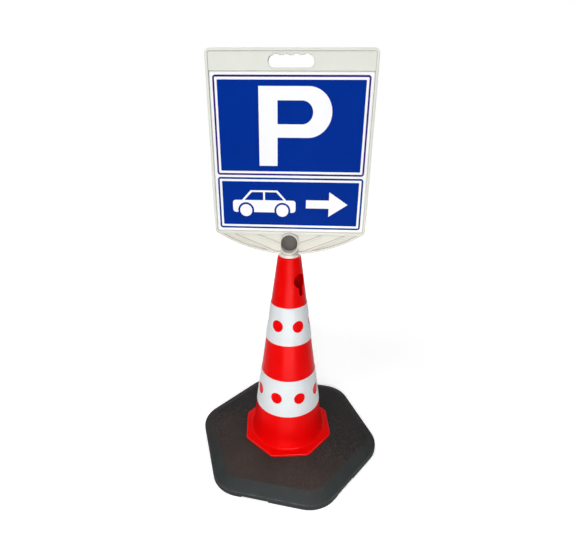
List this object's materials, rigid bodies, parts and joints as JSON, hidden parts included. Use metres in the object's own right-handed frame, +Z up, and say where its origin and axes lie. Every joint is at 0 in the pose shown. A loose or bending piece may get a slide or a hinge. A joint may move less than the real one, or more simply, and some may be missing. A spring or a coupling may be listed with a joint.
{
  "type": "parking sign on a traffic cone",
  "caption": "Red traffic cone with reflective sleeves on a hexagonal rubber base, carrying a moulded parking sign board that turns in the cone's tip and lifts out.",
  "frame": {"origin": "centre of the underside of the hexagonal base, on the cone's axis", "axes": "+Z up along the cone's axis, the front of the sign faces -Y, +X to the right as seen from the front"},
  "size_m": [0.4488, 0.4324, 0.8945],
  "materials": {
    "base_rubber": "rough crumb rubber",
    "cone_red": "glossy moulded plastic",
    "sleeve_white": "retroreflective film",
    "zinc_steel": "zinc plated",
    "insert_brass": "turned",
    "bush_white": "moulded plastic",
    "clip_steel": "spring steel",
    "board_white": "moulded plastic",
    "plug_grey": "smooth rubber",
    "film_white": "vinyl film",
    "film_blue": "cut vinyl film"
  },
  "bodies": {
    "stand": {"base": "base_rubber", "cone": "cone_red", "upper_sleeve": "sleeve_white", "lower_sleeve": "sleeve_white", "backing_ring": "zinc_steel", "flange_bolts": "zinc_steel", "bolt_washers": "zinc_steel", "flange_inserts": "insert_brass"},
    "swivel": {"swivel_bush": "bush_white", "bush_clip": "clip_steel"},
    "sign": {"sign_board": "board_white", "hub_plug": "plug_grey", "front_film": "film_white", "front_print": "film_blue", "back_film": "film_white", "back_print": "film_blue"}
  },
  "joints": [
    {"name": "sign_swivel", "type": "hinge", "parent": "stand", "child": "swivel", "pos_m": [0, 0, 0.5], "axis": [0, 0, 1], "continuous": true},
    {"name": "sign_lift", "type": "slide", "parent": "swivel", "child": "sign", "axis": [0, 0, 1], "range_m": [0, 0.08]}
  ]
}
